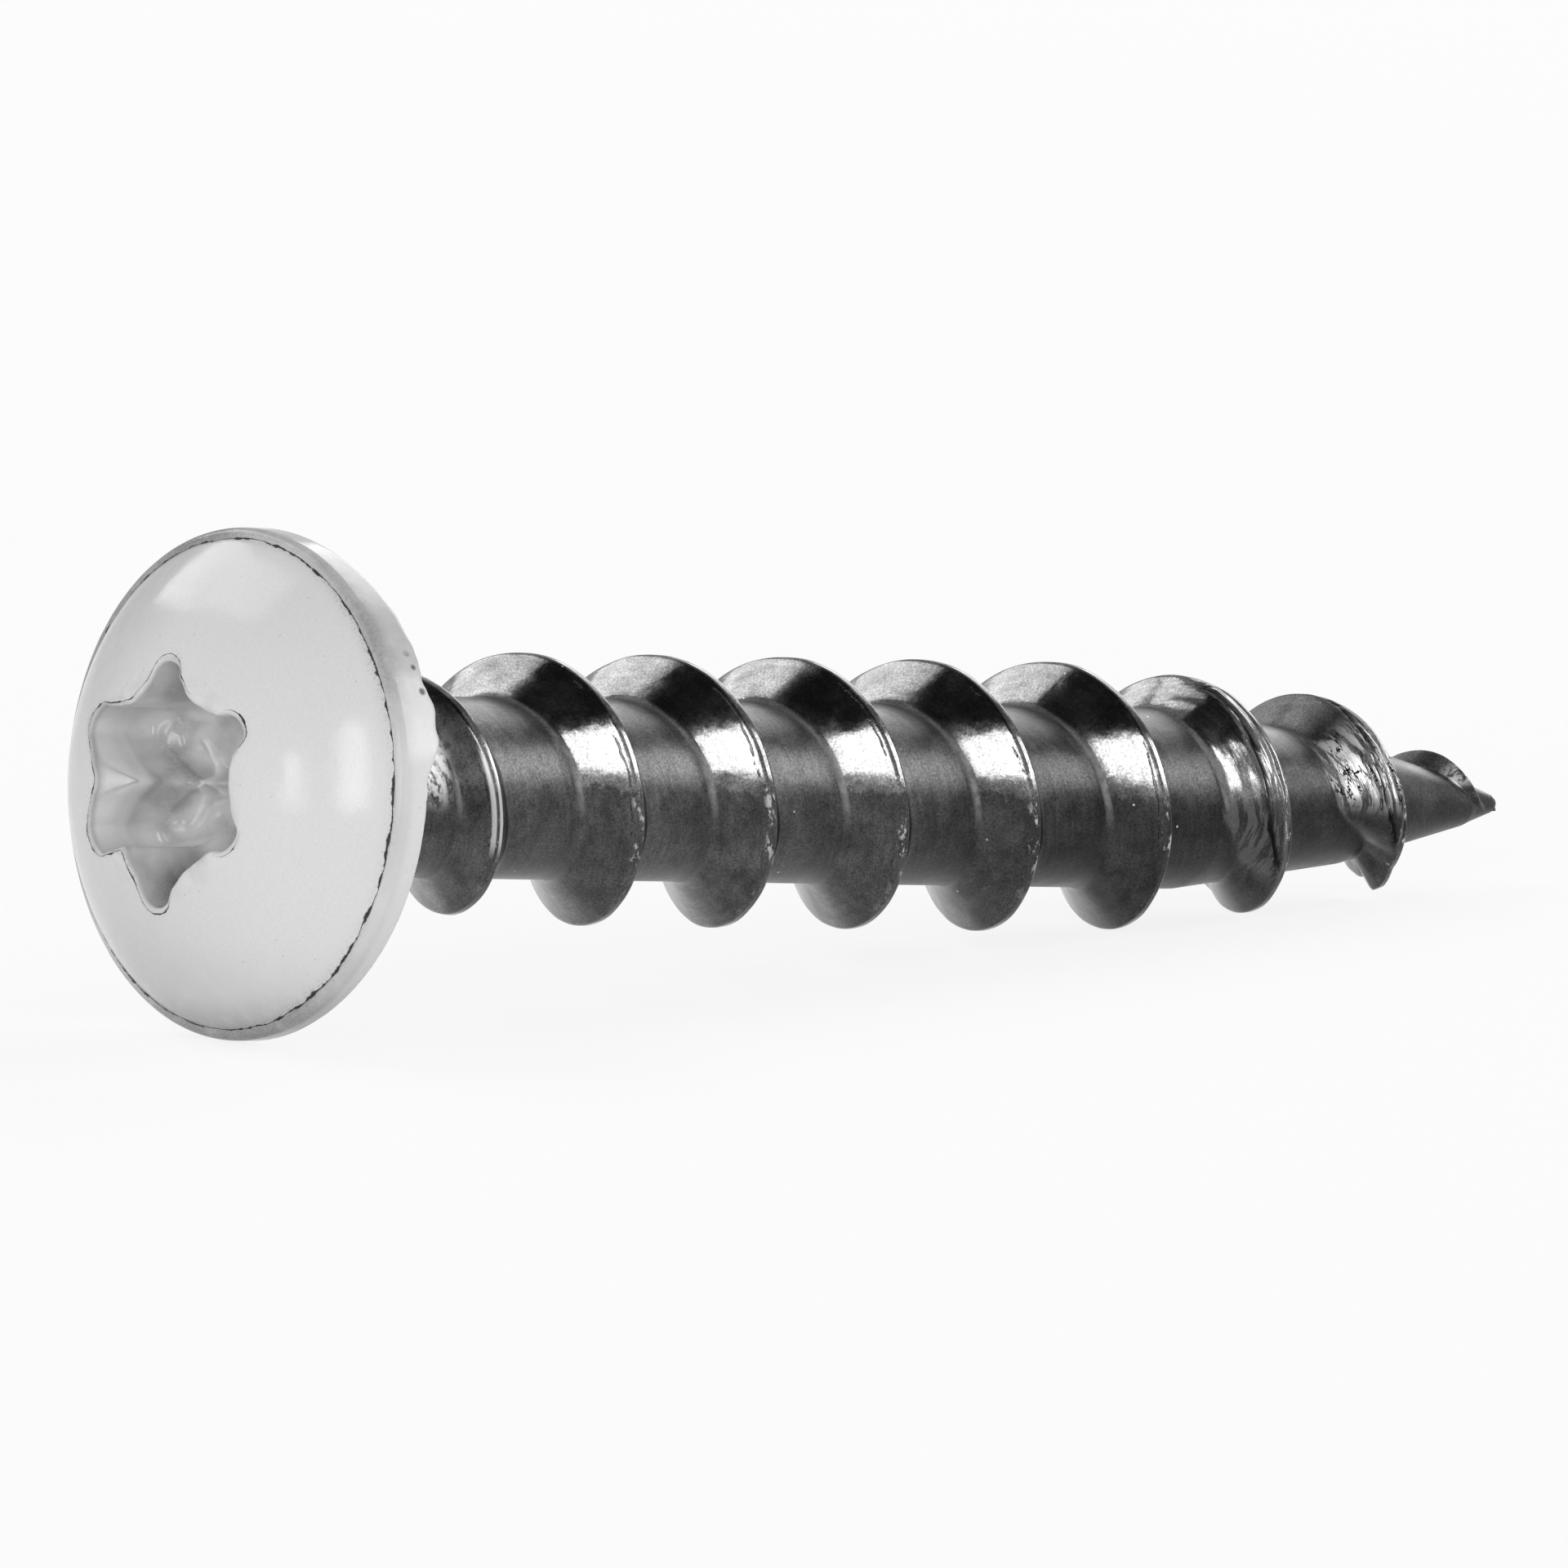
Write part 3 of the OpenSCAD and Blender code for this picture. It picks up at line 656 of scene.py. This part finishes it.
def white_paint():
    """Thick glossy white coat with painted shade and dirt in its recess, painted shade towards its rim, bottom and far
    side, cracks along its edges and dust.
    """
    finish, tree, shader = new_finish("white_paint")
    spot = in_screw_frame(tree)
    place = add(tree, "ShaderNodeSeparateXYZ", Vector=spot).outputs
    out = calc(tree, "SQRT", calc(tree, "ADD", calc(tree, "POWER", place["Y"], 2), calc(tree, "POWER", place["Z"], 2)))
    socket_shade_and_dirt = kept(tree, "socket_shade_and_dirt")
    edge = kept(tree, "edge")
    crack = kept(tree, "crack")

    fine = grain(tree, spot, 0.04, 3.0, 0.7)
    smudge = grain(tree, spot, 0.45, 5.0, 0.65)
    brushed = add(tree, "ShaderNodeCombineXYZ", X=out, Y=calc(
        tree, "ARCTAN2", place["Y"], place["Z"])).outputs[0]
    brushed = grain(tree, brushed, 0.045, 3.0, 0.7, (1.0, 0.09, 1.0))
    brush_depth = ramp(tree, calc(tree, "ADD", out, calc(tree, "MULTIPLY", place["Y"], 0.8)), 3.0, 6.5, 0.008, 0.1)
    colour = ramp(tree, fine, 0.3, 0.7, 0.63, 0.69, smooth=False)
    brushed = calc(tree, "MULTIPLY", calc(tree, "SUBTRACT", brushed, 0.55), calc(tree, "MULTIPLY", brush_depth, 3))
    colour = calc(tree, "MULTIPLY", colour, calc(tree, "ADD", brushed, 1))
    dusty = specks(tree, spot, 0.22, 0.09, 0.3)
    colour = calc(tree, "MULTIPLY", colour, mixed(tree, dusty, 1.0, 0.72))

    # Painted shade and dirt in the socket, painted shade along the lip's rounding, and painted shade on the rim below
    # and on the far side
    low = ramp(tree, place["Z"], -2.6, -4.1)
    far_side = ramp(tree, place["Y"], 2.6, 4.0)
    rim = calc(tree, "MULTIPLY", ramp(tree, out, 3.2, 3.95), calc(tree, "MAXIMUM", low, calc(
        tree, "MULTIPLY", far_side, 0.5)))
    inner = calc(tree, "MULTIPLY", ramp(tree, edge, 0.01, -0.03), ramp(tree, edge, -0.35, -0.1, 0.0, 0.25))
    inner = calc(tree, "MULTIPLY", inner, crack)
    painted_shade_and_dirt = calc(tree, "ADD", calc(tree, "MAXIMUM", socket_shade_and_dirt, inner), calc(tree, "MULTIPLY", rim, 0.4))
    # More painted shade: towards the upper far side, towards the bottom, and on the rim's upper right
    painted_shade_and_dirt = calc(tree, "ADD", painted_shade_and_dirt, ramp(tree, calc(tree, "ADD", calc(tree, "MULTIPLY", place["Z"], 0.5), place["Y"]),
                                        1.2, 4.0, 0.0, 0.28))
    painted_shade_and_dirt = calc(tree, "ADD", painted_shade_and_dirt, ramp(tree, place["Z"], -2.0, -3.5, 0.0, 0.1))
    painted_shade_and_dirt = calc(tree, "ADD", painted_shade_and_dirt, calc(tree, "MULTIPLY", ramp(tree, place["Z"], 0.8, 2.5), ramp(
        tree, place["X"], -0.62, -0.5, 0.0, 0.3)))
    painted_shade_and_dirt = calc(tree, "MULTIPLY", painted_shade_and_dirt, ramp(tree, smudge, 0.3, 0.6, 0.75, 1.1))
    painted_shade_and_dirt = calc(tree, "MULTIPLY", painted_shade_and_dirt, ramp(tree, fine, 0.3, 0.7, 0.8, 1.2, smooth=False))
    colour = mixed(tree, painted_shade_and_dirt, colour, 0.08)

    # Thin broken cracks along the lip of the socket and the crease
    wave = calc(tree, "MULTIPLY", calc(tree, "SUBTRACT", grain(tree, spot, 0.5, 4.0, 0.6), 0.5), 0.09)
    away = calc(tree, "ABSOLUTE", calc(tree, "ADD", edge, wave))
    broken = grain(tree, spot, 0.3, 4.0, 0.7)
    width = calc(tree, "MULTIPLY", ramp(tree, broken, 0.42, 0.72, 0.005, 0.036), mixed(tree, crack, 0.6, 1.1))
    line = ramp(tree, calc(tree, "DIVIDE", away, width), 1.0, 0.45)
    halo = calc(tree, "MULTIPLY", ramp(tree, away, 0.14, 0.0), ramp(tree, fine, 0.5, 0.62))
    halo = calc(tree, "MULTIPLY", halo, calc(tree, "MULTIPLY", crack, 0.5))
    colour = mixed(tree, halo, colour, 0.2)
    line = calc(tree, "MULTIPLY", line, ramp(tree, crack, 0.02, 0.25, 0.0, 0.97))
    colour = mixed(tree, line, colour, 0.02)

    # Chips in the paint that sags behind the rim
    chips = calc(tree, "MULTIPLY", specks(tree, spot, 0.3, 0.3, 0.4), ramp(tree, place["X"], -0.3, -0.15))
    chips = calc(tree, "MULTIPLY", chips, ramp(tree, place["Y"], -2.4, -2.8))
    chips = calc(tree, "MULTIPLY", chips, calc(tree, "MULTIPLY", ramp(tree, place["Z"], 0.8, 1.2), ramp(
        tree, place["Z"], 2.5, 2.2)))
    colour = mixed(tree, chips, colour, 0.03)
    link(tree, grey(tree, colour), shader.inputs["Base Color"])

    shader.inputs["Specular IOR Level"].default_value = 0.18
    rough = ramp(tree, smudge, 0.35, 0.65, 0.1, 0.16)
    link(tree, calc(tree, "ADD", rough, calc(tree, "MULTIPLY", line, 0.5)), shader.inputs["Roughness"])
    height = calc(tree, "MULTIPLY", fine, 0.0008)
    height = calc(tree, "ADD", height, calc(tree, "MULTIPLY", smudge, 0.004))
    height = calc(tree, "SUBTRACT", height, calc(tree, "MULTIPLY", line, 0.02))
    raised(tree, shader, height)
    return finish


def finished(piece):
    """Lays a piece in place and hands it over as part of the screw."""
    piece.data.transform(LIE)
    piece.data.polygons.foreach_set("use_smooth", [True] * len(piece.data.polygons))
    piece.data.update()
    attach(piece, "root")
    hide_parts("screw")
    return piece


steel = dark_steel()
paint = white_paint()

shank = made_by_nodes("threaded_shank", shank_tree(), {
    "Pitch": PITCH, "Crest X": CREST_X, "Crest half width": CREST_HALF_W, "Neck radius": NECK_R,
    "Length": LENGTH, "Tip radius": TIP_R, "Columns per turn": 120, "Rows per pitch": 54,
    "Turns": 12, "Material": steel,
})
finished(shank)
head = coated_head()
head.data.materials.append(paint)
finished(head)


# Camera at the photograph's angle, far away with a long lens
SCALE = 77.984
PHOTO_SIZE = 1920
DISTANCE = 1000.0
AZIMUTH = math.radians(48.775)
DROP = math.radians(8.069)
ANCHOR = Vector((0, 0, 4.0))
ANCHOR_PIXEL = (1015.386, 872.915)


def photo_camera():
    view = Vector((math.cos(AZIMUTH) * math.cos(DROP), math.sin(AZIMUTH) * math.cos(DROP), -math.sin(DROP)))
    right = Vector((math.sin(AZIMUTH), -math.cos(AZIMUTH), 0))
    up = right.cross(view)
    middle = PHOTO_SIZE / 2
    aim = ANCHOR - right * ((ANCHOR_PIXEL[0] - middle) / SCALE) - up * ((middle - ANCHOR_PIXEL[1]) / SCALE)
    data = bpy.data.cameras.new("photo_camera")
    data.sensor_width = 36.0
    data.sensor_fit = "HORIZONTAL"
    data.lens = data.sensor_width * SCALE * DISTANCE / PHOTO_SIZE
    data.clip_start = 0.1
    data.clip_end = 20.0
    camera = bpy.data.objects.new("photo_camera", data)
    bpy.context.scene.collection.objects.link(camera)
    turned = Matrix((right, up, -view)).transposed().to_4x4()
    turned.translation = (aim - view * DISTANCE) * MM
    camera.matrix_world = turned
    bpy.context.scene.camera = camera


def seen_rays(tree):
    """One for rays from the camera, from gloss and through glass, zero for the rest."""
    path = tree.nodes.new("ShaderNodeLightPath")
    seen = calc(tree, "MAXIMUM", path.outputs["Is Camera Ray"], path.outputs["Is Glossy Ray"])
    return calc(tree, "MAXIMUM", seen, path.outputs["Is Transmission Ray"])


def studio():
    scene = bpy.context.scene
    scene.view_settings.view_transform = "Standard"
    world = bpy.data.worlds.new("studio")
    scene.world = world
    world.use_nodes = True
    tree = world.node_tree
    tree.nodes.clear()
    way = tree.nodes.new("ShaderNodeTexCoord").outputs["Generated"]
    to_flag = tree.nodes.new("ShaderNodeVectorMath")
    to_flag.operation = "DOT_PRODUCT"
    link(tree, way, to_flag.inputs[0])
    link(tree, Vector((-0.66, -0.07, 0.74)).normalized(), to_flag.inputs[1])
    ceiling = ramp(tree, to_flag.outputs["Value"], 0.72, 0.88, 1.0, 0.12)
    seen = seen_rays(tree)
    plain = 0.36
    strength = calc(tree, "ADD", plain, calc(tree, "MULTIPLY", seen, calc(tree, "SUBTRACT", ceiling, plain)))
    background = add(tree, "ShaderNodeBackground", Strength=strength)
    output = tree.nodes.new("ShaderNodeOutputWorld")
    tree.links.new(background.outputs[0], output.inputs["Surface"])

    mesh = bpy.data.meshes.new("floor")
    half = 3.0
    mesh.from_pydata([(-half, -half, 0), (half, -half, 0), (half, half, 0), (-half, half, 0)], [], [(0, 1, 2, 3)])
    floor = bpy.data.objects.new("floor", mesh)
    scene.collection.objects.link(floor)
    pale = bpy.data.materials.new("pale_floor")
    pale.use_nodes = True
    tree = pale.node_tree
    tree.nodes.clear()
    diffuse = add(tree, "ShaderNodeBsdfDiffuse", Color=(0.9, 0.9, 0.9, 1))
    glow = add(tree, "ShaderNodeEmission", Strength=1.0)
    mix = tree.nodes.new("ShaderNodeMixShader")
    link(tree, calc(tree, "MULTIPLY", seen_rays(tree), 0.85), mix.inputs[0])
    tree.links.new(diffuse.outputs[0], mix.inputs[1])
    tree.links.new(glow.outputs[0], mix.inputs[2])
    output = tree.nodes.new("ShaderNodeOutputMaterial")
    tree.links.new(mix.outputs[0], output.inputs["Surface"])
    mesh.materials.append(pale)


def softbox(name, start, end, width, radiance, distance=0.5, mirrored=True):
    """A long lamp that spans the screw's surroundings from one direction to another.

    Its brightness is as a mirror would show it, next to a white background of one."""
    start = Vector(start).normalized()
    end = Vector(end).normalized()
    way = (start + end).normalized()
    length = (start - end).length * distance
    data = bpy.data.lights.new(name, "AREA")
    data.shape = "RECTANGLE"
    data.size = width
    data.size_y = length
    data.energy = radiance * math.pi * width * length
    lamp = bpy.data.objects.new(name, data)
    bpy.context.scene.collection.objects.link(lamp)
    up = (end - start).normalized()
    turned = Matrix((up.cross(way), up, way)).transposed().to_4x4()
    turned.translation = way * distance
    lamp.matrix_world = turned
    lamp.visible_camera = False
    lamp.visible_glossy = mirrored


photo_camera()
studio()
softbox("key", (-0.82, -0.57, 0.0), (-0.72, -0.47, 0.5), 0.08, 11.0)
softbox("front", (-0.97, -0.22, 0.0), (-0.93, -0.2, 0.3), 0.06, 9.0)
softbox("back", (0.15, 0.87, 0.42), (-0.16, 0.74, 0.65), 0.15, 3.3)
softbox("top", (-0.16, 0.74, 0.65), (-0.42, 0.35, 0.84), 0.14, 3.3)
softbox("rear", (0.74, 0.6, 0.3), (0.75, 0.0, 0.66), 0.2, 3.5)
softbox("side", (0.68, -0.7, 0.15), (0.7, -0.4, 0.56), 0.18, 7.0)
softbox("fill", (-0.6, -0.8, 0.0), (-0.5, -0.75, 0.4), 0.3, 2.4, mirrored=False)
